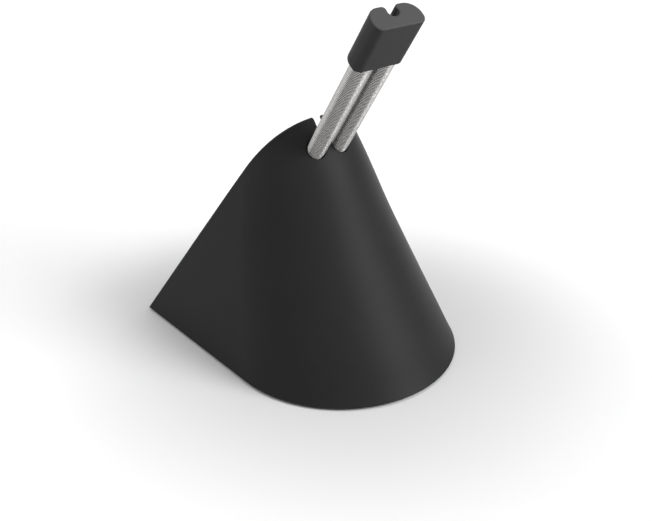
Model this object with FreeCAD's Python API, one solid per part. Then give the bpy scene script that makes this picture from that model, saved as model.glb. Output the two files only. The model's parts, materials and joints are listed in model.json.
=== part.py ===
import FreeCAD, Part
import math
import os

# A mouse bungee: a weighted hood whose back is cut off on a slant, and two close-wound springs
# that lean forward out of its front and carry a rubber clip for the mouse cable.
# Millimetres. +Z is up, -Y is the front, X = 0 is the plane of symmetry, Z = 0 is the desk, and
# the origin is the middle of the footprint. The arm has a frame of its own: it starts where the
# springs' middle line leaves the hood's front, and its X, Y and Z are the model's X, back and up
# across the springs, and up along them.

# The hood's outline
hood_depth = 94.3
foot_radius = 38.4
crown_height = 75.3
crown_radius = 16.05
crown_setback = 3.8
side_flare = 3.9
nose_fullness = 0.15
front_hollow = 1.1
crown_bulge = 1.9
crown_tuck = 1.1
bulge_start = 0.5
hood_wall = 2.0
rim_round = 0.7

# The cable notch in the crown
notch_width = 3.3
notch_depth = 4.5
notch_floor_round = 0.8
notch_corner_round = 1.2

# The rubber foot, the base plate and the ballast
foot_gap = 0.8
foot_thickness = 1.4
foot_inset = 4.0
base_thickness = 3.2
ballast_thickness = 4.0
ballast_inset = 10.5
ballast_plates = 2
plate_corner_round = 3.0

# The slanted rear cover
cover_recess = 0.8
cover_thickness = 2.0

# The arm
arm_splay = 3.93
exit_drop = 7.54
spring_spacing = 8.5
spring_diameter = 6.0
spring_wire = 0.9
turn_valley = 0.28
spring_free_length = 37.9
spring_root_length = 23.7

# The clip
clip_width = 17.2
clip_front = 3.0
clip_rear = 4.65
clip_length = 16.9
clip_front_round = 2.4
clip_rear_round = 4.4
clip_lip_round = 1.3
clip_edge_round = 0.5
cable_bore = 3.5
cable_bore_rear_wall = 2.15
core_bridge_thickness = 1.6
core_bridge_height = 8.0
peg_reach = 8.0

# The anchor that holds the springs' lower ends
anchor_width = 27.0
anchor_length = 18.0
anchor_floor = 3.0
anchor_front = 4.6
anchor_rear = 3.9
anchor_round = 2.0
anchor_screw_spacing = 20.8
root_peg_head = 1.5

# Screws, bosses and inserts
screw_diameter = 2.9
screw_head_diameter = 5.2
screw_head_height = 1.6
base_screw_length = 8.0
ballast_screw_length = 10.4
cover_screw_length = 8.0
anchor_screw_length = 12.0
boss_diameter = 7.0
base_boss_height = 11.0
cover_boss_length = 11.0
insert_diameter = 4.0
insert_length = 5.0
base_boss_angle = 47.0
base_boss_inset = 9.5
rear_boss_inset_y = 17.0
cover_boss_inset = 7.2
cover_screw_low = 24.0
cover_screw_high = 48.0
rib_thickness = 1.6
ballast_screw_spacing = 40.0
ballast_screw_y = 6.0

# Clearances
fit = 0.05
press = 0.02
seam = 0.15
spring_hole_gap = 0.35
notch_gap = 0.3
head_gap = 0.15
boss_gap = 1.0
seat_floor = 1.0
screw_floor = 1.0

slant = math.degrees(math.atan2(hood_depth / 2 - crown_setback, crown_height))
arm_lean = slant + arm_splay
exit_height = crown_height - exit_drop
sections = 11
spare = 20.0
far = 300.0


def vec(x, y, z):
    return FreeCAD.Vector(x, y, z)


def near_crown(z):
    """0 up to the height where the bulge starts, and 1 at the crown."""
    return max(0.0, (z / crown_height - bulge_start) / (1 - bulge_start))


def nose_radius(z):
    """Radius of the rounded front at height z above the hood's lower edge."""
    u = z / crown_height
    straight = foot_radius + (crown_radius + crown_tuck - foot_radius) * u
    return straight + 4 * nose_fullness * u * (1 - u) - crown_tuck * near_crown(z) ** 2


def front_y(z):
    """Y of the front's middle line: hollow over most of its height, full under the crown."""
    u = z / crown_height
    w = near_crown(z)
    low = -hood_depth / 2
    hollow = 4 * front_hollow * u * (1 - u)
    return low + (crown_setback - low) * u + hollow - crown_bulge * w ** 2 * (1 - w) * 6.75


def nose_centre(z):
    return front_y(z) + nose_radius(z)


def arm_place():
    turn = FreeCAD.Rotation(vec(1, 0, 0), arm_lean)
    return FreeCAD.Placement(vec(0, front_y(exit_height), exit_height + foot_gap), turn)


def on_arm(shape):
    shape.Placement = arm_place().multiply(shape.Placement)
    return shape


def back_y(z):
    """Y of the slanted back plane."""
    return hood_depth / 2 - z * math.tan(math.radians(slant))


def wall_x(z, y, inset):
    """X of the right side wall at height z and depth y, inset from the outside."""
    flare = math.radians(side_flare)
    radius = nose_radius(z) - inset
    run = (y - nose_centre(z) + radius * math.sin(flare)) / math.cos(flare)
    return radius * math.cos(flare) + run * math.sin(flare)


def hood_section(z, inset, back):
    """One level of the hood: a round nose and two side walls that open out to the back."""
    flare = math.radians(side_flare)
    radius = nose_radius(z) - inset
    middle = nose_centre(z)
    touch_x = radius * math.cos(flare)
    touch_y = middle - radius * math.sin(flare)
    level = z + foot_gap
    back_x = wall_x(z, back, inset)
    left_back = vec(-back_x, back, level)
    left = vec(-touch_x, touch_y, level)
    front = vec(0, middle - radius, level)
    right = vec(touch_x, touch_y, level)
    right_back = vec(back_x, back, level)
    return Part.Wire([
        Part.makeLine(left_back, left),
        Part.Arc(left, front, right).toShape(),
        Part.makeLine(right, right_back),
        Part.makeLine(right_back, left_back),
    ])


def hood_form(inset, bottom, back):
    """The hood's form as a solid, inset from the outside and not yet cut on the slant."""
    top = crown_height + hood_wall * 2
    levels = [bottom + (top - bottom) * i / (sections - 1) for i in range(sections)]
    return Part.makeLoft([hood_section(z, inset, back) for z in levels], True, False)


def behind_slant(depth):
    """Everything behind a plane parallel to the slanted back and this far in front of it."""
    shift = depth / math.cos(math.radians(slant))
    low, high = -spare, crown_height + spare
    corners = [
        vec(-far / 2, back_y(low) - shift, low + foot_gap),
        vec(-far / 2, back_y(high) - shift, high + foot_gap),
        vec(-far / 2, far, high + foot_gap),
        vec(-far / 2, far, low + foot_gap),
    ]
    face = Part.Face(Part.makePolygon(corners + corners[:1]))
    return face.extrude(vec(far, 0, 0))


def slab(bottom, top):
    return Part.makeBox(far, far, top - bottom, vec(-far / 2, -far / 2, bottom))


def slant_point(x, height, depth):
    """A point at this height on the slanted back, moved in from it by depth."""
    lean = math.radians(slant)
    y = back_y(height) - depth * math.cos(lean)
    return vec(x, y, height + foot_gap - depth * math.sin(lean))


def slant_inward():
    lean = math.radians(slant)
    return vec(0, -math.cos(lean), -math.sin(lean))


def notch_cutter(gap):
    """The cable notch: upright sides, a rounded floor and a mouth eased over into the rim."""
    rim = crown_height + foot_gap
    half = notch_width / 2 + gap
    floor = rim - notch_depth - gap
    mouth, corner = notch_corner_round, notch_floor_round
    ease = 1 - math.sqrt(0.5)

    def mirrored(p):
        return vec(-p.x, p.y, p.z)

    top = vec(half + mouth, 0, rim)
    crest = vec(half + mouth * ease, 0, rim - mouth * ease)
    side = vec(half, 0, rim - mouth)
    low = vec(half, 0, floor + corner)
    turn = vec(half - corner * ease, 0, floor + corner * ease)
    bottom = vec(half - corner, 0, floor)
    up = vec(0, 0, notch_depth)
    profile = Part.Wire([
        Part.makeLine(top + up, top),
        Part.Arc(top, crest, side).toShape(),
        Part.makeLine(side, low),
        Part.Arc(low, turn, bottom).toShape(),
        Part.makeLine(bottom, mirrored(bottom)),
        Part.Arc(mirrored(bottom), mirrored(turn), mirrored(low)).toShape(),
        Part.makeLine(mirrored(low), mirrored(side)),
        Part.Arc(mirrored(side), mirrored(crest), mirrored(top)).toShape(),
        Part.makeLine(mirrored(top), mirrored(top) + up),
        Part.makeLine(mirrored(top) + up, top + up),
    ])
    profile.translate(vec(0, -far / 2, 0))
    return Part.Face(profile).extrude(vec(0, far, 0))


def base_boss_points():
    """Where the base screws go up into the hood: two by the nose and two by the back corners."""
    angle = math.radians(base_boss_angle)
    reach = nose_radius(base_thickness) - base_boss_inset
    front_x = reach * math.sin(angle)
    fore_y = nose_centre(base_thickness) - reach * math.cos(angle)
    rear_y = hood_depth / 2 - rear_boss_inset_y
    rear_x = wall_x(base_thickness, rear_y, base_boss_inset)
    return [(x * s, y) for x, y in ((front_x, fore_y), (rear_x, rear_y)) for s in (-1, 1)]


def cover_screw_points():
    """Where the cover screws cross the slanted back, as (x, height)."""
    points = []
    for height in (cover_screw_low, cover_screw_high):
        x = wall_x(height, back_y(height), cover_boss_inset)
        points += [(-x, height), (x, height)]
    return points


def ballast_screw_points():
    return [-ballast_screw_spacing / 2, ballast_screw_spacing / 2]


def anchor_screw_points():
    return [-anchor_screw_spacing / 2, anchor_screw_spacing / 2]


def spring_points():
    return [-spring_spacing / 2, spring_spacing / 2]


def anchor_start():
    return -spring_root_length - root_peg_head - anchor_floor


def anchor_middle():
    return anchor_start() + anchor_length / 2


def ribbed_post(start, direction, outward, length):
    """A round post from start along direction, with a rib that ties it to the wall outward."""
    post = Part.makeCylinder(boss_diameter / 2, length, start, direction)
    across = direction.cross(outward) * (rib_thickness / 2)
    corner = start + across
    rib = Part.Face(Part.makePolygon([
        corner,
        corner + outward * (far / 4),
        corner + outward * (far / 4) + direction * length,
        corner + direction * length,
        corner,
    ])).extrude(across * -2)
    return post.fuse(rib)


def hood_bosses():
    """The moulded posts inside the hood, trimmed to stay under its skin."""
    posts = []
    bottom = foot_gap + base_thickness
    for x, y in base_boss_points():
        outward = vec(x, min(0, y - nose_centre(0)), 0).normalize()
        post = ribbed_post(vec(x, y, bottom), vec(0, 0, 1), outward, base_boss_height)
        posts.append(post.cut(behind_slant(cover_recess + cover_thickness + seam)))
    for x, height in cover_screw_points():
        start = slant_point(x, height, cover_recess + cover_thickness)
        outward = vec(math.copysign(1, x), 0, 0)
        posts.append(ribbed_post(start, slant_inward(), outward, cover_boss_length))
    for x in anchor_screw_points():
        start = vec(x, -anchor_front, anchor_middle())
        posts.append(on_arm(Part.makeCylinder(boss_diameter / 2, far / 4, start, vec(0, -1, 0))))
    skin = hood_form(hood_wall / 2, -1.0, hood_depth / 2 + spare)
    return [post.common(skin) for post in posts]


def hood_holes():
    """Bores in the bosses, the two spring holes and the notch."""
    cutters = [notch_cutter(0)]
    bottom = foot_gap + base_thickness
    for x, y in base_boss_points():
        cutters.append(Part.makeCylinder(insert_diameter / 2 + press, insert_length, vec(x, y, bottom)))
        depth = base_boss_height - hood_wall
        cutters.append(Part.makeCylinder(screw_diameter / 2 + fit, depth, vec(x, y, bottom)))
    for x, height in cover_screw_points():
        start = slant_point(x, height, cover_recess + cover_thickness)
        depth = cover_boss_length - hood_wall
        cutters.append(Part.makeCylinder(screw_diameter / 2 + fit, depth, start, slant_inward()))
    for x in anchor_screw_points():
        start = vec(x, -anchor_front + seat_floor, anchor_middle())
        depth = anchor_screw_length - anchor_front + screw_floor + seat_floor
        hole = Part.makeCylinder(screw_diameter / 2 + fit, depth, start, vec(0, -1, 0))
        cutters.append(on_arm(hole))
    for x in spring_points():
        radius = spring_diameter / 2 + spring_hole_gap
        length = spring_root_length + spring_free_length
        cutters.append(on_arm(Part.makeCylinder(radius, length, vec(x, 0, -spring_root_length))))
    return cutters


def housing():
    """One moulded shell: a folded-looking hood, open below and behind, with its posts inside."""
    outer = hood_form(0, 0, hood_depth / 2 + spare / 2).cut(behind_slant(0))
    rim = [e for e in outer.Edges if on_slant_rim(e)]
    outer = outer.makeFillet(rim_round, rim)
    inner = hood_form(hood_wall, -1.0, hood_depth / 2 + spare)
    shell = outer.cut(inner)
    shell = shell.fuse(hood_bosses())
    return shell.cut(hood_holes()).removeSplitter()


def on_slant_rim(edge):
    """True for the edges where the outside skin meets the slanted back."""
    for i in range(5):
        t = edge.FirstParameter + (edge.LastParameter - edge.FirstParameter) * i / 4
        p = edge.valueAt(t)
        if abs(p.y - back_y(p.z - foot_gap)) > 0.01:
            return False
    return edge.BoundBox.ZLength > 1


def housing_inserts():
    """Brass sleeves pressed into the four base posts."""
    sleeves = []
    for x, y in base_boss_points():
        start = vec(x, y, foot_gap + base_thickness)
        sleeve = Part.makeCylinder(insert_diameter / 2, insert_length, start)
        bore = Part.makeCylinder(screw_diameter / 2 + fit, insert_length, start)
        sleeves.append(sleeve.cut(bore))
    return Part.makeCompound(sleeves)


def screw(length, start, direction):
    """A pan-head screw: start is the seat under the head, and the shank runs on along direction."""
    shank = screw_diameter / 2
    head = screw_head_diameter / 2
    crown = 0.4
    profile = Part.makePolygon([
        vec(0, 0, -screw_head_height),
        vec(head - crown, 0, -screw_head_height),
        vec(head, 0, -screw_head_height + crown),
        vec(head, 0, 0),
        vec(shank, 0, 0),
        vec(shank, 0, length - shank * 0.6),
        vec(shank * 0.4, 0, length),
        vec(0, 0, length),
        vec(0, 0, -screw_head_height),
    ])
    body = Part.Face(profile).revolve(vec(0, 0, 0), vec(0, 0, 1), 360)
    slot = Part.makeBox(head * 1.1, 0.6, 0.7, vec(-head * 0.55, -0.3, -screw_head_height))
    cross = Part.makeBox(0.6, head * 1.1, 0.7, vec(-0.3, -head * 0.55, -screw_head_height))
    body = body.cut([slot, cross])
    turn = FreeCAD.Rotation(vec(0, 0, 1), direction)
    body.Placement = FreeCAD.Placement(start, turn)
    return body


def head_pocket(start, direction, depth):
    """Clearance for a screw's head and shank, sunk from the seat back along the screw."""
    head = Part.makeCylinder(screw_head_diameter / 2 + head_gap, depth, start, direction * -1)
    shank = Part.makeCylinder(screw_diameter / 2 + fit, far / 4, start - direction * fit, direction)
    return head.fuse(shank)


def base_screw_seat():
    return foot_gap + base_thickness - seat_floor


def base_screws():
    up = vec(0, 0, 1)
    seat = base_screw_seat()
    return Part.makeCompound([screw(base_screw_length, vec(x, y, seat), up) for x, y in base_boss_points()])


def base_plate():
    """Closes the hood from below, with a shallow recess for the rubber foot."""
    plate = hood_form(hood_wall + seam, -1.0, hood_depth / 2 + spare)
    plate = plate.common(slab(foot_gap, foot_gap + base_thickness))
    plate = plate.cut(behind_slant(cover_recess + cover_thickness + seam))
    cutters = [straight_plate(foot_inset - seam, 0, foot_thickness)]
    for x, y in base_boss_points():
        cutters.append(head_pocket(vec(x, y, base_screw_seat()), vec(0, 0, 1), base_thickness))
    for x in ballast_screw_points():
        start = vec(x, ballast_screw_y, foot_thickness + screw_floor / 2)
        cutters.append(Part.makeCylinder(screw_diameter / 2 + fit, far / 4, start))
    return plate.cut(cutters)


def foot_pad():
    """One non-slip rubber foot that hides the base screws."""
    return straight_plate(foot_inset, 0, foot_thickness)


def plate_back(inset):
    return back_y(0) - cover_recess - cover_thickness - inset


def straight_plate(inset, bottom, top):
    """A flat plate with upright edges in the hood's plan at its lower edge."""
    outline = hood_section(0, hood_wall + inset, plate_back(inset))
    outline.translate(vec(0, 0, bottom - foot_gap))
    plate = Part.Face(outline).extrude(vec(0, 0, top - bottom))
    return round_uprights(plate, plate_back(inset), plate_corner_round)


def round_uprights(solid, y, radius):
    """Rounds the edges that run along Z and lie at this Y."""
    corners = []
    for edge in solid.Edges:
        box = edge.BoundBox
        if abs(box.YMin - y) + abs(box.YMax - y) < 0.01 and box.ZLength > box.XLength + 0.01:
            corners.append(edge)
    return solid.makeFillet(radius, corners)


def ballast_plate(number):
    """A stamped steel weight, cut back round the base posts, in a stack on the base plate."""
    bottom = foot_gap + base_thickness + ballast_thickness * number
    plate = straight_plate(ballast_inset, bottom, bottom + ballast_thickness)
    holes = []
    for x, y in base_boss_points():
        holes.append(Part.makeCylinder(boss_diameter / 2 + boss_gap, far, vec(x, y, 0)))
    for x in ballast_screw_points():
        holes.append(Part.makeCylinder(screw_diameter / 2 + fit, far, vec(x, ballast_screw_y, 0)))
    return plate.cut(holes)


def ballast_screws():
    top = foot_gap + base_thickness + ballast_thickness * ballast_plates
    down = vec(0, 0, -1)
    length = top - foot_thickness - screw_floor
    screws = [screw(length, vec(x, ballast_screw_y, top), down) for x in ballast_screw_points()]
    return Part.makeCompound(screws)


def rear_cover():
    """The slanted panel that closes the back, let in below the rim."""
    panel = hood_form(hood_wall + seam, -1.0, hood_depth / 2 + spare)
    panel = panel.cut(behind_slant(cover_recess))
    panel = panel.common(behind_slant(cover_recess + cover_thickness))
    panel = panel.common(slab(foot_gap, far))
    sink = []
    for x, height in cover_screw_points():
        seat = slant_point(x, height, cover_recess + cover_thickness - seat_floor)
        sink.append(head_pocket(seat, slant_inward(), screw_head_height + cover_recess))
    return panel.cut(sink + [notch_cutter(notch_gap)])


def cover_screws():
    screws = []
    for x, height in cover_screw_points():
        seat = slant_point(x, height, cover_recess + cover_thickness - seat_floor)
        screws.append(screw(cover_screw_length, seat, slant_inward()))
    return Part.makeCompound(screws)


def spring(x):
    """A close-wound spring. Its free length shows every turn as a ridge; its ends are plain."""
    outside = spring_diameter / 2
    inside = outside - spring_wire
    groove = outside - spring_wire * turn_valley
    bottom = -spring_root_length
    first = first_turn()
    turns = int((spring_free_length - first) / spring_wire)
    pitch = (spring_free_length - first) / turns
    points = [vec(inside, 0, bottom), vec(groove, 0, bottom), vec(groove, 0, first)]
    for i in range(turns):
        base = first + i * pitch
        points.append(vec(outside, 0, base + pitch / 2))
        points.append(vec(groove, 0, base + pitch))
    points += [vec(inside, 0, spring_free_length), points[0]]
    coil = Part.Face(Part.makePolygon(points)).revolve(vec(0, 0, 0), vec(0, 0, 1), 360)
    coil.translate(vec(x, 0, 0))
    return on_arm(coil)


def first_turn():
    """Where along the arm the springs' front edges reach the inside of the hood's front."""
    low, high = -spring_root_length, 0
    for _ in range(40):
        middle = (low + high) / 2
        p = arm_place().multVec(vec(0, -spring_diameter / 2, middle))
        if p.y < front_y(p.z - foot_gap) + hood_wall:
            high = middle
        else:
            low = middle
    return low


def anchor_half(near, far_side):
    """One half of the anchor, from the springs' middle plane out, with its outer corners rounded."""
    low, high = min(near, far_side), max(near, far_side)
    corner = vec(-anchor_width / 2, low, anchor_start())
    box = Part.makeBox(anchor_width, high - low, anchor_length, corner)
    return round_uprights(box, far_side, anchor_round)


def spring_seats():
    """Bores that the springs' lower ends sit in, with a step for the root pegs' heads."""
    bottom = -spring_root_length - root_peg_head
    radius = spring_diameter / 2 + fit
    return [Part.makeCylinder(radius, anchor_length, vec(x, 0, bottom)) for x in spring_points()]


def anchor_screw_seat():
    return anchor_rear - screw_head_height - head_gap


def anchor_block():
    """The front half of the anchor, screwed to the hood's bosses."""
    box = anchor_half(0, -anchor_front)
    holes = []
    for x in anchor_screw_points():
        start = vec(x, seat_floor, anchor_middle())
        length = anchor_front + seat_floor * 2
        holes.append(Part.makeCylinder(screw_diameter / 2 + fit, length, start, vec(0, -1, 0)))
    return on_arm(box.cut(spring_seats() + holes))


def anchor_clamp():
    """The rear half, which clamps the springs into the block."""
    box = anchor_half(0, anchor_rear)
    pockets = []
    for x in anchor_screw_points():
        seat = vec(x, anchor_screw_seat(), anchor_middle())
        pockets.append(head_pocket(seat, vec(0, -1, 0), screw_head_height * 2))
    return on_arm(box.cut(spring_seats() + pockets))


def anchor_screws():
    screws = []
    for x in anchor_screw_points():
        seat = vec(x, anchor_screw_seat(), anchor_middle())
        length = anchor_screw_length + anchor_screw_seat()
        screws.append(on_arm(screw(length, seat, vec(0, -1, 0))))
    return Part.makeCompound(screws)


def peg_radius():
    """A peg slides into a spring's bore."""
    return spring_diameter / 2 - spring_wire - fit


def root_peg(x):
    """A headed steel peg that keeps the clamped end of a spring round."""
    bottom = -spring_root_length
    head = Part.makeCylinder(spring_diameter / 2 - fit, root_peg_head, vec(x, 0, bottom - root_peg_head))
    peg = head.fuse(Part.makeCylinder(peg_radius(), anchor_length - anchor_floor, vec(x, 0, bottom)))
    return on_arm(peg.removeSplitter())


def clip_section():
    """The clip's cross-section: a rounded bar with a cable bore that opens to the rear."""
    half = clip_width / 2
    front, rear = -clip_front, clip_rear
    bore = cable_bore / 2
    centre = clip_rear - cable_bore_rear_wall
    lip = clip_lip_round
    lip_y = rear - lip
    reach = bore + lip
    lip_x = math.sqrt(reach ** 2 - (lip_y - centre) ** 2)
    meet = vec(lip_x, lip_y, 0) + (vec(0, centre, 0) - vec(lip_x, lip_y, 0)) * (lip / reach)
    ease = lip * math.sqrt(0.5)

    def arc(a, b, c):
        return Part.Arc(a, b, c).toShape()

    def corner(x, y, radius, sx, sy):
        knee = radius * (1 - math.sqrt(0.5))
        return vec(x - sx * knee, y - sy * knee, 0)

    def mirrored(p):
        return vec(-p.x, p.y, 0)

    fr, rr = clip_front_round, clip_rear_round
    front_in = vec(half - fr, front, 0)
    front_out = vec(half, front + fr, 0)
    rear_out = vec(half, rear - rr, 0)
    rear_in = vec(half - rr, rear, 0)
    lip_top = vec(lip_x, rear, 0)
    lip_side = vec(lip_x - ease, lip_y + ease, 0)
    front_knee = corner(half, front, fr, 1, -1)
    rear_knee = corner(half, rear, rr, 1, 1)
    return Part.Wire([
        Part.makeLine(mirrored(front_in), front_in),
        arc(front_in, front_knee, front_out),
        Part.makeLine(front_out, rear_out),
        arc(rear_out, rear_knee, rear_in),
        Part.makeLine(rear_in, lip_top),
        arc(lip_top, lip_side, meet),
        arc(meet, vec(0, centre - bore, 0), mirrored(meet)),
        arc(mirrored(meet), mirrored(lip_side), mirrored(lip_top)),
        Part.makeLine(mirrored(lip_top), mirrored(rear_in)),
        arc(mirrored(rear_in), mirrored(rear_knee), mirrored(rear_out)),
        Part.makeLine(mirrored(rear_out), mirrored(front_out)),
        arc(mirrored(front_out), mirrored(front_knee), mirrored(front_in)),
    ])


def clip_core_form(gap):
    """Two pegs and the bridge between them, grown by gap for the pocket in the rubber."""
    length = (clip_length + core_bridge_height) / 2
    low = spring_free_length + length - core_bridge_height
    thick = core_bridge_thickness
    corner = vec(-spring_spacing / 2, -thick - gap, low - gap)
    bridge = Part.makeBox(spring_spacing, thick + gap * 2, core_bridge_height + gap * 2, corner)
    pegs = []
    for x in spring_points():
        pegs.append(Part.makeCylinder(peg_radius() + gap, length + gap, vec(x, 0, spring_free_length)))
    return bridge.fuse(pegs)


def clip_sleeve():
    """The rubber clip, moulded round its core."""
    section = clip_section()
    section.translate(vec(0, 0, spring_free_length))
    body = Part.Face(section).extrude(vec(0, 0, clip_length))
    ends = [e for e in body.Edges if e.BoundBox.ZLength < 0.01]
    body = body.makeFillet(clip_edge_round, ends)
    return on_arm(body.cut(clip_core_form(press)))


def clip_core():
    """The stiff core: its pegs reach down into the springs and tie the clip to them."""
    lower = []
    for x in spring_points():
        lower.append(Part.makeCylinder(peg_radius(), peg_reach, vec(x, 0, spring_free_length - peg_reach)))
    return on_arm(clip_core_form(0).fuse(lower).removeSplitter())


nodes = {
    "housing": housing,
    "housing_inserts": housing_inserts,
    "rear_cover": rear_cover,
    "cover_screws": cover_screws,
    "base_plate": base_plate,
    "base_screws": base_screws,
    "foot_pad": foot_pad,
    "ballast_screws": ballast_screws,
    "anchor_block": anchor_block,
    "anchor_clamp": anchor_clamp,
    "anchor_screws": anchor_screws,
    "clip_sleeve": clip_sleeve,
    "clip_core": clip_core,
}
sides = {"left": spring_points()[0], "right": spring_points()[1]}

os.makedirs("parts", exist_ok=True)
for name, build in nodes.items():
    build().exportStep("parts/%s.step" % name)
for side, x in sides.items():
    spring(x).exportStep("parts/spring_%s.step" % side)
    root_peg(x).exportStep("parts/root_peg_%s.step" % side)
for number in range(ballast_plates):
    ballast_plate(number).exportStep("parts/ballast_plate_%d.step" % (number + 1))
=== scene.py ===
import json
import math

import bmesh
import bpy
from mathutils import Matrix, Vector


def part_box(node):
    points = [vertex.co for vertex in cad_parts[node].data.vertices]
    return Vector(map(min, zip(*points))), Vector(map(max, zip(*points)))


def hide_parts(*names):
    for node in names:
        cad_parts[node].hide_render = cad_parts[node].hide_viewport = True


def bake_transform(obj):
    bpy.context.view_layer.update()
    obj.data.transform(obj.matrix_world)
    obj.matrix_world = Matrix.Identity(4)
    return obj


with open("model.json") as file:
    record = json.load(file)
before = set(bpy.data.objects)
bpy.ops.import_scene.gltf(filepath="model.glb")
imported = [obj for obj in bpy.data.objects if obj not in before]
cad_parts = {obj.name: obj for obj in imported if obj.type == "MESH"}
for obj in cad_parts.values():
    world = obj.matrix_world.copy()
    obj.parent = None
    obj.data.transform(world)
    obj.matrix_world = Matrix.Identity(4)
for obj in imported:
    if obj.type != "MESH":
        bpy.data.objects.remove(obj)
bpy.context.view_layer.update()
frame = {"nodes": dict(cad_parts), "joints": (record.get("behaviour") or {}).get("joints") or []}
scene = bpy.context.scene


# Hood. One injection moulding in black ABS with a soft-touch coat: a rounded nose that runs out
# into two flat flanks, cut off by the slant of the back. The coat shows the mould's very fine
# grain. It is paler at the rim, partly wear and partly a painted highlight where the rounded rim
# catches light, and paler and smoother towards the crown, where the paling is a painted highlight
# and the smoothing is polish where fingers hold it.
crown_height = 0.0753
crown_setback = 0.0038
# the crown's painted highlight and polish rise between these two heights
crown_fade_start = 0.036
crown_fade_end = 0.078
crown_highlight_and_polish = 0.12
worn_smoothing = -0.10
hood_low, hood_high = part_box("housing")
slant = math.atan2(hood_high.y - crown_setback, crown_height)
slant_facing = Vector((0.0, math.cos(slant), math.sin(slant)))
slant_level = slant_facing.dot(Vector((0.0, hood_high.y, hood_low.z)))


def new_material(name):
    """An empty node material, its tree and its Principled shader."""
    material = bpy.data.materials.new(name)
    material.use_nodes = True
    tree = material.node_tree
    return material, tree, tree.nodes["Principled BSDF"]


def add(tree, kind, values=None, **settings):
    """A node with its settings and the values of its input sockets."""
    made = tree.nodes.new(kind)
    for key, value in settings.items():
        setattr(made, key, value)
    for socket, value in (values or {}).items():
        made.inputs[socket].default_value = value
    return made


def two_tones(tree, first, second, **settings):
    """A mix that goes from one colour to another."""
    mix = add(tree, "ShaderNodeMix", data_type="RGBA", **settings)
    mix.inputs["A"].default_value = (*first, 1.0)
    mix.inputs["B"].default_value = (*second, 1.0)
    return mix


def fade(tree, start, end, low, high):
    """A smooth change from one level to another while a value goes from start to end."""
    limits = {"From Min": start, "From Max": end, "To Min": low, "To Max": high}
    return add(tree, "ShaderNodeMapRange", limits, interpolation_type="SMOOTHSTEP")


def roughness_span(tree, low, high, **settings):
    """Turns a noise, which mostly lies between 0.3 and 0.7, into a roughness."""
    limits = {"From Min": 0.3, "From Max": 0.7, "To Min": low, "To Max": high}
    return add(tree, "ShaderNodeMapRange", limits, **settings)


def join_shader(tree, shader, colour, roughness, height, strength, depth):
    """Joins a material's colour, roughness and relief to its shader."""
    bump = add(tree, "ShaderNodeBump", {"Strength": strength, "Distance": depth})
    tree.links.new(colour, shader.inputs["Base Color"])
    tree.links.new(roughness, shader.inputs["Roughness"])
    tree.links.new(height, bump.inputs["Height"])
    tree.links.new(bump.outputs["Normal"], shader.inputs["Normal"])


def new_group(name, inputs, outputs):
    """An empty node group with its named sockets, and its two end nodes."""
    group = bpy.data.node_groups.new(name, "ShaderNodeTree")
    for label, kind, value in inputs:
        socket = group.interface.new_socket(label, in_out="INPUT", socket_type=kind)
        socket.default_value = value
    for label, kind in outputs:
        group.interface.new_socket(label, in_out="OUTPUT", socket_type=kind)
    start = group.nodes.new("NodeGroupInput")
    end = group.nodes.new("NodeGroupOutput")
    return group, start, end


def place(tree, group, **values):
    """Puts a node group in a material with its own values."""
    node = tree.nodes.new("ShaderNodeGroup")
    node.node_tree = group
    for label, value in values.items():
        node.inputs[label.replace("_", " ")].default_value = value
    return node


# moulded_grain: the fine, slightly pebbled skin that a mould leaves on plastic or rubber
grain, grain_in, grain_out = new_group(
    "moulded_grain",
    [("Grain Size", "NodeSocketFloat", 0.0003), ("Flow Size", "NodeSocketFloat", 0.012)],
    [("Height", "NodeSocketFloat"), ("Flow", "NodeSocketFloat"), ("Speckle", "NodeSocketFloat")],
)
cell_share = 0.55
where = add(grain, "ShaderNodeTexCoord")
grain_scale = add(grain, "ShaderNodeMath", {0: 1.0}, operation="DIVIDE")
flow_scale = add(grain, "ShaderNodeMath", {0: 1.0}, operation="DIVIDE")
pebbles = add(grain, "ShaderNodeTexNoise", {"Detail": 3.0, "Roughness": 0.62})
cells = add(grain, "ShaderNodeTexVoronoi", feature="SMOOTH_F1")
relief = add(grain, "ShaderNodeMath", {1: cell_share}, operation="MULTIPLY_ADD")
flow = add(grain, "ShaderNodeTexNoise", {"Detail": 4.0, "Roughness": 0.55, "Distortion": 0.6})
links = grain.links
links.new(grain_in.outputs["Grain Size"], grain_scale.inputs[1])
links.new(grain_in.outputs["Flow Size"], flow_scale.inputs[1])
for texture, scale in ((pebbles, grain_scale), (cells, grain_scale), (flow, flow_scale)):
    links.new(where.outputs["Object"], texture.inputs["Vector"])
    links.new(scale.outputs[0], texture.inputs["Scale"])
links.new(cells.outputs["Distance"], relief.inputs[0])
links.new(pebbles.outputs["Fac"], relief.inputs[2])
links.new(relief.outputs[0], grain_out.inputs["Height"])
links.new(flow.outputs["Fac"], grain_out.inputs["Flow"])
links.new(pebbles.outputs["Fac"], grain_out.inputs["Speckle"])

# edge band: marks the surface near a flat cut through a piece, broken up by noise. On most pieces
# it is wear where hands and the desk polish an edge; on the hood's rim it is partly a painted
# highlight, and on the clip's top face it is painted light from above.
band_group, band_in, band_out = new_group(
    "paler_edge_band",
    [
        ("Facing", "NodeSocketVector", (0.0, 0.0, 1.0)),
        ("Level", "NodeSocketFloat", 0.0),
        ("Reach", "NodeSocketFloat", 0.001),
    ],
    [("Mask", "NodeSocketFloat")],
)
patch_gain = 1.7
where = add(band_group, "ShaderNodeTexCoord")
along = add(band_group, "ShaderNodeVectorMath", operation="DOT_PRODUCT")
from_cut = add(band_group, "ShaderNodeMath", operation="SUBTRACT")
away = add(band_group, "ShaderNodeMath", operation="ABSOLUTE")
patchy = add(band_group, "ShaderNodeTexNoise", {"Scale": 420.0, "Detail": 3.0, "Roughness": 0.6})
spread = add(band_group, "ShaderNodeMath", {1: patch_gain}, operation="MULTIPLY")
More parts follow.
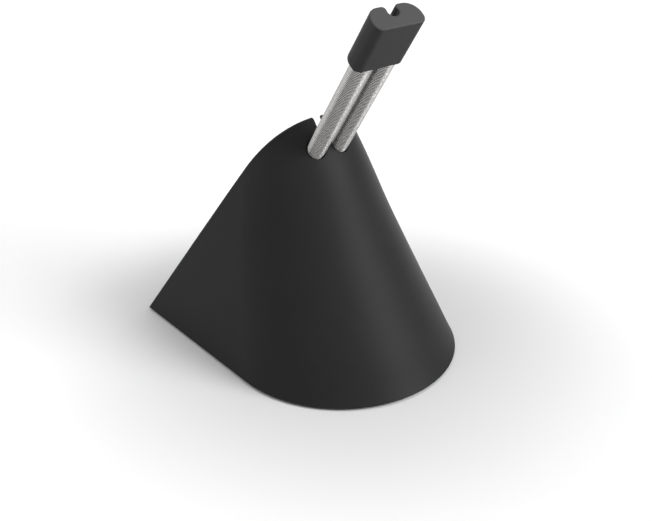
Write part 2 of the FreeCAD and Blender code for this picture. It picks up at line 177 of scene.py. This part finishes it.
limit = add(band_group, "ShaderNodeMath", operation="MULTIPLY")
nearness = fade(band_group, start=0.0, end=1.0, low=1.0, high=0.0)
links = band_group.links
links.new(where.outputs["Object"], along.inputs[0])
links.new(band_in.outputs["Facing"], along.inputs[1])
links.new(along.outputs["Value"], from_cut.inputs[0])
links.new(band_in.outputs["Level"], from_cut.inputs[1])
links.new(from_cut.outputs[0], away.inputs[0])
links.new(where.outputs["Object"], patchy.inputs["Vector"])
links.new(patchy.outputs["Fac"], spread.inputs[0])
links.new(spread.outputs[0], limit.inputs[0])
links.new(band_in.outputs["Reach"], limit.inputs[1])
links.new(away.outputs[0], nearness.inputs["Value"])
links.new(limit.outputs[0], nearness.inputs["From Max"])
links.new(nearness.outputs["Result"], band_out.inputs["Mask"])


def moulded(name, grain_size, flow_size, tones, edge_tone, roughness, strength, depth, edge):
    """A moulded surface with cloudy tones and fine grain, and another tone in a band along one edge.
    """
    material, tree, shader = new_material(name)
    facing, level, reach = edge
    skin = place(tree, grain, Grain_Size=grain_size, Flow_Size=flow_size)
    edge_band = place(tree, band_group, Facing=facing, Level=level, Reach=reach)
    edge_band.name = "edge_band"
    tone = two_tones(tree, *tones)
    edge_toned = two_tones(tree, edge_tone, edge_tone, name="edge_toned")
    gloss = roughness_span(tree, *roughness, name="gloss")
    tree.links.new(skin.outputs["Flow"], tone.inputs["Factor"])
    tree.links.new(tone.outputs["Result"], edge_toned.inputs["A"])
    tree.links.new(edge_band.outputs["Mask"], edge_toned.inputs["Factor"])
    tree.links.new(skin.outputs["Speckle"], gloss.inputs["Value"])
    join_shader(
        tree,
        shader,
        colour=edge_toned.outputs["Result"],
        roughness=gloss.outputs["Result"],
        height=skin.outputs["Height"],
        strength=strength,
        depth=depth,
    )
    return material, tree, shader


def clothe(names, material):
    """Gives a material to every slot of the nodes' meshes."""
    for name in names:
        solid = frame["nodes"][name]
        if not solid.material_slots:
            solid.data.materials.append(material)
        for slot in solid.material_slots:
            slot.material = material


# the paler band along the slant rim is partly wear and partly a painted highlight of the rounded rim
hood_coat, tree, shader = moulded(
    "hood_soft_touch_coat",
    grain_size=0.00022,
    flow_size=0.014,
    tones=((0.0221, 0.0221, 0.0225), (0.0264, 0.0263, 0.0267)),
    edge_tone=(0.038, 0.038, 0.039),
    roughness=(0.40, 0.48),
    strength=0.35,
    depth=0.00002,
    edge=(slant_facing, slant_level, 0.0011),
)
where = add(tree, "ShaderNodeTexCoord")
height = add(tree, "ShaderNodeSeparateXYZ")
# painted highlight: the coat turns paler towards the crown, standing in for light on it; the
# smoother roughness there is polish
crown_painted_highlight_and_polish = fade(tree, start=crown_fade_start, end=crown_fade_end, low=0.0, high=crown_highlight_and_polish)
wear_and_painted_highlight = add(tree, "ShaderNodeMath", operation="MAXIMUM")
smoother = add(tree, "ShaderNodeMath", {1: worn_smoothing}, operation="MULTIPLY_ADD")
links = tree.links
links.new(where.outputs["Object"], height.inputs["Vector"])
links.new(height.outputs["Z"], crown_painted_highlight_and_polish.inputs["Value"])
links.new(tree.nodes["edge_band"].outputs["Mask"], wear_and_painted_highlight.inputs[0])
links.new(crown_painted_highlight_and_polish.outputs["Result"], wear_and_painted_highlight.inputs[1])
links.new(wear_and_painted_highlight.outputs[0], tree.nodes["edge_toned"].inputs["Factor"])
links.new(wear_and_painted_highlight.outputs[0], smoother.inputs[0])
links.new(tree.nodes["gloss"].outputs["Result"], smoother.inputs[2])
links.new(smoother.outputs[0], shader.inputs["Roughness"])
shader.inputs["Specular IOR Level"].default_value = 0.08
clothe(["housing"], hood_coat)


# Threaded inserts. Four knurled brass bushes, pressed hot into the hood's posts so that the
# base screws can be undone and tightened again. The knurl runs in two crossing spirals.
knurl_scale = 420.0
insert_brass, tree, shader = new_material("insert_knurled_brass")
where = add(tree, "ShaderNodeTexCoord")
leaning = add(tree, "ShaderNodeMapping", {"Rotation": (0.0, 0.0, math.radians(45))})
one_way = add(tree, "ShaderNodeTexWave", {"Scale": knurl_scale}, bands_direction="DIAGONAL")
other_way = add(tree, "ShaderNodeTexWave", {"Scale": knurl_scale}, bands_direction="DIAGONAL")
knurl = add(tree, "ShaderNodeMath", operation="MULTIPLY")
tarnish = add(tree, "ShaderNodeTexNoise", {"Scale": 900.0, "Detail": 4.0})
brass_tone = two_tones(tree, (0.60, 0.42, 0.16), (0.78, 0.60, 0.28))
brass_gloss = add(tree, "ShaderNodeMapRange", {"To Min": 0.24, "To Max": 0.42})
links = tree.links
links.new(where.outputs["Object"], one_way.inputs["Vector"])
links.new(where.outputs["Object"], leaning.inputs["Vector"])
links.new(leaning.outputs["Vector"], other_way.inputs["Vector"])
links.new(one_way.outputs["Fac"], knurl.inputs[0])
links.new(other_way.outputs["Fac"], knurl.inputs[1])
links.new(where.outputs["Object"], tarnish.inputs["Vector"])
links.new(tarnish.outputs["Fac"], brass_tone.inputs["Factor"])
links.new(tarnish.outputs["Fac"], brass_gloss.inputs["Value"])
join_shader(
    tree,
    shader,
    colour=brass_tone.outputs["Result"],
    roughness=brass_gloss.outputs["Result"],
    height=knurl.outputs[0],
    strength=0.6,
    depth=0.00012,
)
shader.inputs["Metallic"].default_value = 1.0
clothe(["housing_inserts"], insert_brass)


# Anchor. Two halves of black glass-filled nylon that two screws clamp round the roots of the
# springs inside the hood. Like the other inner mouldings it keeps the coarse, matt skin of a
# spark-eroded mould.
arm_splay = math.radians(3.93)
spring_free_length = 0.0379
spring_root_length = 0.0237
arm_lean = slant + arm_splay
arm_up = Vector((0.0, -math.sin(arm_lean), math.cos(arm_lean)))
arm_back = Vector((0.0, math.cos(arm_lean), math.sin(arm_lean)))
arm_hinge = next(joint for joint in frame["joints"] if joint["name"] == "arm_flex")
arm_exit = Vector(arm_hinge["pos_m"]) - arm_up * spring_free_length / 2


def level_on_arm(up):
    """The level of a cut square to the arm, at a height above the arm's exit from the hood."""
    return (arm_exit + arm_up * up).dot(arm_up)


def tones_around(base, swing):
    """A darker and a lighter tone of one colour."""
    return [[channel * share for channel in base] for share in (1 - swing, 1 + swing)]


def bare_moulding(name, base, edge_tone, facing, level, reach):
    """Matt black plastic with a coarse grain, paler along one edge."""
    material, tree, shader = moulded(
        name,
        grain_size=0.00045,
        flow_size=0.010,
        tones=tones_around(base, 0.18),
        edge_tone=edge_tone,
        roughness=(0.54, 0.72),
        strength=0.6,
        depth=0.00006,
        edge=(facing, level, reach),
    )
    return material


anchor_nylon = bare_moulding(
    "anchor_glass_nylon",
    base=(0.020, 0.020, 0.021),
    edge_tone=(0.045, 0.045, 0.046),
    facing=arm_up,
    level=level_on_arm(-spring_root_length),
    reach=0.0008,
)
clothe(["anchor_block", "anchor_clamp"], anchor_nylon)


# Springs. Two close-wound coils of thin bright steel wire, from the anchor inside the hood up to
# the clip, each with its last turn closed flat under the clip. They are the arm, and bend when
# the cable pulls.
spring_diameter = 0.006
spring_spacing = 0.0085
wire_diameter = 0.0006
coil_radius = (spring_diameter - wire_diameter) / 2
steps_per_turn = 40
wire_sides = 8
uv_per_metre = 1000.0


def on_arm(across, back, up):
    """A point given beside the arm's middle line, behind it and along it from the hood."""
    return arm_exit + Vector((across, 0.0, 0.0)) + arm_back * back + arm_up * up


def wire_rings(work, across, start_angle):
    """Rings of points round the wire, step by step along its helix, which ends in a flat turn."""
    lowest = wire_diameter / 2 - spring_root_length
    highest = spring_free_length - wire_diameter / 2
    turns = (highest - lowest) / wire_diameter + 1
    rings = []
    for step in range(int(turns * steps_per_turn) + 1):
        turns_made = step / steps_per_turn
        angle = start_angle + math.tau * turns_made
        outward = Vector((math.cos(angle), 0.0, 0.0)) + arm_back * math.sin(angle)
        forward = Vector((-math.sin(angle), 0.0, 0.0)) + arm_back * math.cos(angle)
        forward = forward * coil_radius + arm_up * (wire_diameter / math.tau)
        upward = outward.cross(forward).normalized()
        up = min(lowest + wire_diameter * turns_made, highest)
        centre = on_arm(across, 0.0, up) + outward * coil_radius
        ring = []
        for side in range(wire_sides):
            round_wire = math.tau * side / wire_sides
            offset = outward * math.cos(round_wire) + upward * math.sin(round_wire)
            ring.append(work.verts.new(centre + offset * wire_diameter / 2))
        rings.append(ring)
    return rings


def wind_spring(name, across, start_angle):
    """A round wire swept along its helix as a tube with closed ends, its UV map along the wire."""
    mesh = bpy.data.meshes.new(name)
    work = bmesh.new()
    uv_layer = work.loops.layers.uv.new("wire")
    rings = wire_rings(work, across, start_angle)
    turn_length = math.hypot(math.tau * coil_radius, wire_diameter) * uv_per_metre
    for step in range(len(rings) - 1):
        for side in range(wire_sides):
            corners = ((step, side), (step, side + 1), (step + 1, side + 1), (step + 1, side))
            face = work.faces.new([rings[run][turn % wire_sides] for run, turn in corners])
            face.smooth = True
            for loop, (run, turn) in zip(face.loops, corners):
                loop[uv_layer].uv = (run * turn_length / steps_per_turn, turn / wire_sides)
    work.faces.new(rings[0])
    work.faces.new(rings[-1])
    bmesh.ops.recalc_face_normals(work, faces=work.faces)
    work.to_mesh(mesh)
    work.free()
    spring = bpy.data.objects.new(name, mesh)
    scene.collection.objects.link(spring)
    return spring


spring_wire, tree, shader = new_material("spring_drawn_wire")
where = add(tree, "ShaderNodeUVMap", uv_map="wire")
stretched = add(tree, "ShaderNodeMapping", {"Scale": (0.35, 26.0, 1.0)})
drawn = add(tree, "ShaderNodeTexNoise", {"Scale": 1.0, "Detail": 4.0, "Roughness": 0.6})
batches = add(tree, "ShaderNodeMapping", {"Scale": (0.22, 0.5, 1.0)})
cloudy = add(tree, "ShaderNodeTexNoise", {"Scale": 1.0, "Detail": 3.0})
steel_tone = two_tones(tree, (0.337, 0.330, 0.326), (0.450, 0.442, 0.437))
steel_gloss = roughness_span(tree, low=0.19, high=0.29)
links = tree.links
links.new(where.outputs["UV"], stretched.inputs["Vector"])
links.new(stretched.outputs["Vector"], drawn.inputs["Vector"])
links.new(where.outputs["UV"], batches.inputs["Vector"])
links.new(batches.outputs["Vector"], cloudy.inputs["Vector"])
links.new(cloudy.outputs["Fac"], steel_tone.inputs["Factor"])
links.new(drawn.outputs["Fac"], steel_gloss.inputs["Value"])
join_shader(
    tree,
    shader,
    colour=steel_tone.outputs["Result"],
    roughness=steel_gloss.outputs["Result"],
    height=drawn.outputs["Fac"],
    strength=0.25,
    depth=0.00002,
)
shader.inputs["Metallic"].default_value = 1.0

for node_name, hand, start_angle in (("spring_left", -1, 0.6), ("spring_right", 1, 2.3)):
    spring = wind_spring(node_name + "_wire", hand * spring_spacing / 2, start_angle)
    spring.data.materials.append(spring_wire)
    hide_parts(node_name)
    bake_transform(spring)


# Root pegs and screws. The pegs are turned steel pins that the springs' lower ends are pushed
# over. All the screws are small pan-head steel ones with a thin zinc plate, which dulls in
# patches where a driver and fingers have touched it.
plated, plated_in, plated_out = new_group(
    "zinc_plate",
    [
        ("Bright", "NodeSocketColor", (0.5, 0.5, 0.51, 1.0)),
        ("Dull", "NodeSocketColor", (0.3, 0.3, 0.3, 1.0)),
    ],
    [("Colour", "NodeSocketColor"), ("Roughness", "NodeSocketFloat"), ("Height", "NodeSocketFloat")],
)
where = add(plated, "ShaderNodeTexCoord")
patches = add(plated, "ShaderNodeTexNoise", {"Scale": 520.0, "Detail": 4.0, "Roughness": 0.65})
lathe = add(plated, "ShaderNodeTexNoise", {"Scale": 7000.0, "Detail": 2.0})
zinc_tone = add(plated, "ShaderNodeMix", data_type="RGBA")
zinc_gloss = roughness_span(plated, low=0.26, high=0.46)
links = plated.links
links.new(where.outputs["Object"], patches.inputs["Vector"])
links.new(where.outputs["Object"], lathe.inputs["Vector"])
links.new(patches.outputs["Fac"], zinc_tone.inputs["Factor"])
links.new(plated_in.outputs["Bright"], zinc_tone.inputs["A"])
links.new(plated_in.outputs["Dull"], zinc_tone.inputs["B"])
links.new(patches.outputs["Fac"], zinc_gloss.inputs["Value"])
links.new(zinc_tone.outputs["Result"], plated_out.inputs["Colour"])
links.new(zinc_gloss.outputs["Result"], plated_out.inputs["Roughness"])
links.new(lathe.outputs["Fac"], plated_out.inputs["Height"])


def plated_steel(name, bright, dull):
    """Steel with a thin patchy plate, from its bright tone to its dull one."""
    material, tree, shader = new_material(name)
    plate = place(tree, plated, Bright=(*bright, 1.0), Dull=(*dull, 1.0))
    join_shader(
        tree,
        shader,
        colour=plate.outputs["Colour"],
        roughness=plate.outputs["Roughness"],
        height=plate.outputs["Height"],
        strength=0.3,
        depth=0.00001,
    )
    shader.inputs["Metallic"].default_value = 1.0
    return material


peg_steel = plated_steel("peg_turned_steel", (0.56, 0.55, 0.54), (0.38, 0.37, 0.36))
clothe(["root_peg_left", "root_peg_right"], peg_steel)
screw_zinc = plated_steel("screw_zinc_plate", (0.46, 0.46, 0.48), (0.28, 0.28, 0.29))
clothe(["anchor_screws", "base_screws", "cover_screws", "ballast_screws"], screw_zinc)


# Ballast. Two plates stamped from mild steel sheet, stacked on the base so that the bungee
# stays put when the cable is tugged. The sheet shows its rolling direction and a light bloom.
ballast_sheet, tree, shader = new_material("ballast_rolled_sheet")
where = add(tree, "ShaderNodeTexCoord")
rolled = add(tree, "ShaderNodeMapping", {"Scale": (60.0, 2600.0, 2600.0)})
streaks = add(tree, "ShaderNodeTexNoise", {"Scale": 1.0, "Detail": 4.0, "Roughness": 0.6})
bloom = add(tree, "ShaderNodeTexNoise", {"Scale": 130.0, "Detail": 5.0, "Roughness": 0.68})
bloom_edge = add(tree, "ShaderNodeMapRange", {"From Min": 0.52, "From Max": 0.72})
sheet_tone = two_tones(tree, (0.36, 0.36, 0.37), (0.22, 0.19, 0.165))
sheet_gloss = roughness_span(tree, low=0.34, high=0.56)
links = tree.links
links.new(where.outputs["Object"], rolled.inputs["Vector"])
links.new(rolled.outputs["Vector"], streaks.inputs["Vector"])
links.new(where.outputs["Object"], bloom.inputs["Vector"])
links.new(bloom.outputs["Fac"], bloom_edge.inputs["Value"])
links.new(bloom_edge.outputs["Result"], sheet_tone.inputs["Factor"])
links.new(streaks.outputs["Fac"], sheet_gloss.inputs["Value"])
join_shader(
    tree,
    shader,
    colour=sheet_tone.outputs["Result"],
    roughness=sheet_gloss.outputs["Result"],
    height=streaks.outputs["Fac"],
    strength=0.3,
    depth=0.00002,
)
shader.inputs["Metallic"].default_value = 1.0
clothe(["ballast_plate_1", "ballast_plate_2"], ballast_sheet)


# Base plate and rear cover. Flat mouldings in the same black ABS as the hood but left bare, so
# they are a shade deeper and coarser. The cover is let into the slanted back and the base plate
# into the open underside, each held by screws.
base_abs = bare_moulding(
    "base_bare_abs",
    base=(0.016, 0.016, 0.0165),
    edge_tone=(0.034, 0.034, 0.035),
    facing=(0.0, 0.0, 1.0),
    level=hood_low.z,
    reach=0.0007,
)
clothe(["base_plate"], base_abs)
cover_abs = bare_moulding(
    "cover_bare_abs",
    base=(0.014, 0.014, 0.0145),
    edge_tone=(0.030, 0.030, 0.031),
    facing=slant_facing,
    level=slant_level,
    reach=0.0004,
)
clothe(["rear_cover"], cover_abs)


# Foot. A thin sheet of black silicone rubber, die-cut to the plan of the base and glued into
# its recess, which lifts the hood just clear of the desk. It picks up a little pale dust.
def rubber(name, base, dust_and_painted_top_light, grain_size, depth, roughness, facing, level, reach):
    """Matt rubber with a pebbled skin, paler along one edge: dust on the foot, painted light on the
    clip's top face.
    """
    material, tree, shader = moulded(
        name,
        grain_size=grain_size,
        flow_size=0.006,
        tones=tones_around(base, 0.10),
        edge_tone=dust_and_painted_top_light,
        roughness=roughness,
        strength=0.4,
        depth=depth,
        edge=(facing, level, reach),
    )
    shader.inputs["Specular IOR Level"].default_value = 0.22
    return material


desk_level = 0.0
foot_silicone = rubber(
    "foot_silicone",
    base=(0.020, 0.020, 0.020),
    dust_and_painted_top_light=(0.05, 0.05, 0.049),
    grain_size=0.0005,
    depth=0.00006,
    roughness=(0.75, 0.87),
    facing=(0.0, 0.0, 1.0),
    level=desk_level,
    reach=0.0005,
)
clothe(["foot_pad"], foot_silicone)


# Clip. A block of soft black rubber pushed over a nylon core that plugs the tops of the two
# springs. A round groove down its back takes the cable, and its lips close over the cable. Its
# whole top face takes a paler tone, which is painted light falling from above.
clip_length = 0.0169
core_nylon = bare_moulding(
    "core_nylon",
    base=(0.018, 0.018, 0.019),
    edge_tone=(0.04, 0.04, 0.041),
    facing=arm_up,
    level=level_on_arm(spring_free_length),
    reach=0.0006,
)
clothe(["clip_core"], core_nylon)
# painted light: the paler band covers the clip's whole top face, as if lit from above
clip_soft_rubber = rubber(
    "clip_soft_rubber",
    base=(0.0285, 0.0285, 0.029),
    dust_and_painted_top_light=(0.076, 0.076, 0.077),
    grain_size=0.00020,
    depth=0.00002,
    roughness=(0.57, 0.69),
    facing=arm_up,
    level=level_on_arm(spring_free_length + clip_length),
    reach=0.0006,
)
clothe(["clip_sleeve"], clip_soft_rubber)


# Desk. A wide white sheet that runs out of sight on every side. Its own colour is plain; where
# it is looked at, or mirrored in metal, it is lifted to white away from the object, while near
# the object the lift is held back: a painted shadow on top of the soft cast shadow.
sheet_reach = 6.0
sheet_white = 0.80
# middle of the painted shadow, in front of the nose
painted_shadow_middle = (0.020, -0.045, 0.0)
quarters = ((-1, -1), (1, -1), (1, 1), (-1, 1))
sheet_corners = [(x * sheet_reach, y * sheet_reach, desk_level) for x, y in quarters]
sheet_mesh = bpy.data.meshes.new("white_sheet")
sheet_mesh.from_pydata(sheet_corners, [], [(0, 1, 2, 3)])
sheet = bpy.data.objects.new("white_sheet", sheet_mesh)
scene.collection.objects.link(sheet)


def any_ray(tree, *kinds):
    """A socket that is 1 for rays of these kinds and 0 for all others."""
    path = add(tree, "ShaderNodeLightPath")
    found = path.outputs[kinds[0]]
    for kind in kinds[1:]:
        either = add(tree, "ShaderNodeMath", operation="MAXIMUM")
        tree.links.new(found, either.inputs[0])
        tree.links.new(path.outputs[kind], either.inputs[1])
        found = either.outputs[0]
    return found


sheet_paper, tree, shader = new_material("white_sheet_paper")
seen = any_ray(tree, "Is Camera Ray", "Is Glossy Ray", "Is Transmission Ray")
where = add(tree, "ShaderNodeTexCoord")
from_painted_shadow_middle = add(tree, "ShaderNodeVectorMath", {1: painted_shadow_middle}, operation="DISTANCE")
from_middle = add(tree, "ShaderNodeVectorMath", operation="LENGTH")
# painted shadow: where it is seen, the sheet's colour is darker near that middle and whiter further
# out
painted_shadow_tint = fade(tree, start=0.02, end=0.15, low=sheet_white, high=0.99)
paper = two_tones(tree, [sheet_white] * 3, [1.0] * 3)
# painted shade: the glow that lifts the sheet to white is missing near the object and grows outwards
lift_past_painted_shadow = fade(tree, start=0.047, end=0.112, low=0.0, high=0.16)
towards_horizon = fade(tree, start=0.25, end=1.5, low=0.0, high=0.8)
glow = add(tree, "ShaderNodeMath", operation="ADD")
seen_glow = add(tree, "ShaderNodeMath", operation="MULTIPLY")
links = tree.links
links.new(where.outputs["Object"], from_painted_shadow_middle.inputs[0])
links.new(from_painted_shadow_middle.outputs["Value"], painted_shadow_tint.inputs["Value"])
links.new(painted_shadow_tint.outputs["Result"], paper.inputs["B"])
links.new(seen, paper.inputs["Factor"])
links.new(paper.outputs["Result"], shader.inputs["Base Color"])
links.new(where.outputs["Object"], from_middle.inputs[0])
links.new(from_middle.outputs["Value"], lift_past_painted_shadow.inputs["Value"])
links.new(from_middle.outputs["Value"], towards_horizon.inputs["Value"])
links.new(lift_past_painted_shadow.outputs["Result"], glow.inputs[0])
links.new(towards_horizon.outputs["Result"], glow.inputs[1])
links.new(glow.outputs[0], seen_glow.inputs[0])
links.new(seen, seen_glow.inputs[1])
links.new(seen_glow.outputs[0], shader.inputs["Emission Color"])
shader.inputs["Emission Strength"].default_value = 1.0
shader.inputs["Roughness"].default_value = 0.9
shader.inputs["Specular IOR Level"].default_value = 0.0
sheet_mesh.materials.append(sheet_paper)


# Studio light. A white sweep behind the object that fades to a dimmer room in front, as bright
# metal mirrors it, and five broad soft lamps: right, in front, left, high in front and behind.
room_level = 0.28
sweep_facing = (-0.09, 0.996, 0.0)
lamp_aim = Vector((0.0, 0.0, 0.05))
room = bpy.data.worlds.new("pale_room")
scene.world = room
room.use_nodes = True
tree = room.node_tree
background = tree.nodes["Background"]
background.inputs["Color"].default_value = (1.0, 1.0, 1.0, 1.0)
mirrored = any_ray(tree, "Is Glossy Ray", "Is Transmission Ray")
looked_at = any_ray(tree, "Is Camera Ray")
where = add(tree, "ShaderNodeTexCoord")
backward = add(tree, "ShaderNodeVectorMath", {1: sweep_facing}, operation="DOT_PRODUCT")
sweep = fade(tree, start=0.10, end=0.35, low=0.30, high=0.90)
in_metal = add(tree, "ShaderNodeMix", {"A": room_level})
backdrop = add(tree, "ShaderNodeMix", {"B": 1.0})
links = tree.links
links.new(where.outputs["Generated"], backward.inputs[0])
links.new(backward.outputs["Value"], sweep.inputs["Value"])
links.new(mirrored, in_metal.inputs["Factor"])
links.new(sweep.outputs["Result"], in_metal.inputs["B"])
links.new(looked_at, backdrop.inputs["Factor"])
links.new(in_metal.outputs["Result"], backdrop.inputs["A"])
links.new(backdrop.outputs["Result"], background.inputs["Strength"])

for name, power, size, spot in (
    ("broad_lamp_right", 2.2, 1.1, (0.72, 0.0, 1.07)),
    ("broad_lamp_front", 12.8, 0.7, (0.63, -0.88, 0.68)),
    ("broad_lamp_left", 4.1, 1.2, (-0.90, 0.49, 0.77)),
    ("lamp_high_front", 1.2, 0.7, (-0.12, -0.71, 1.07)),
    ("lamp_behind", 1.0, 0.8, (0.15, 0.8, 0.9)),
):
    lamp = bpy.data.lights.new(name, "AREA")
    lamp.shape = "SQUARE"
    lamp.size = size
    lamp.energy = power
    holder = bpy.data.objects.new(name, lamp)
    holder.location = spot
    holder.rotation_mode = "QUATERNION"
    holder.rotation_quaternion = (lamp_aim - Vector(spot)).to_track_quat("-Z", "Y")
    scene.collection.objects.link(holder)


# Camera. It stands in front and to the left, looking down at the object, with the eye point,
# direction and lens that were fitted to the outlines.
eye_point = (-0.16558, -0.22853, 0.18291)
look_down = math.radians(28.972)
turned_right = math.radians(36.051)
lens = bpy.data.cameras.new("photo_view")
lens.sensor_fit = "HORIZONTAL"
lens.sensor_width = 36.0
lens.lens = 54.26
lens.clip_start = 0.01
lens.clip_end = 40.0
camera = bpy.data.objects.new("photo_view", lens)
camera.location = eye_point
camera.rotation_euler = (math.radians(90) - look_down, 0.0, -turned_right)
scene.collection.objects.link(camera)
scene.camera = camera
scene.view_settings.view_transform = "Standard"
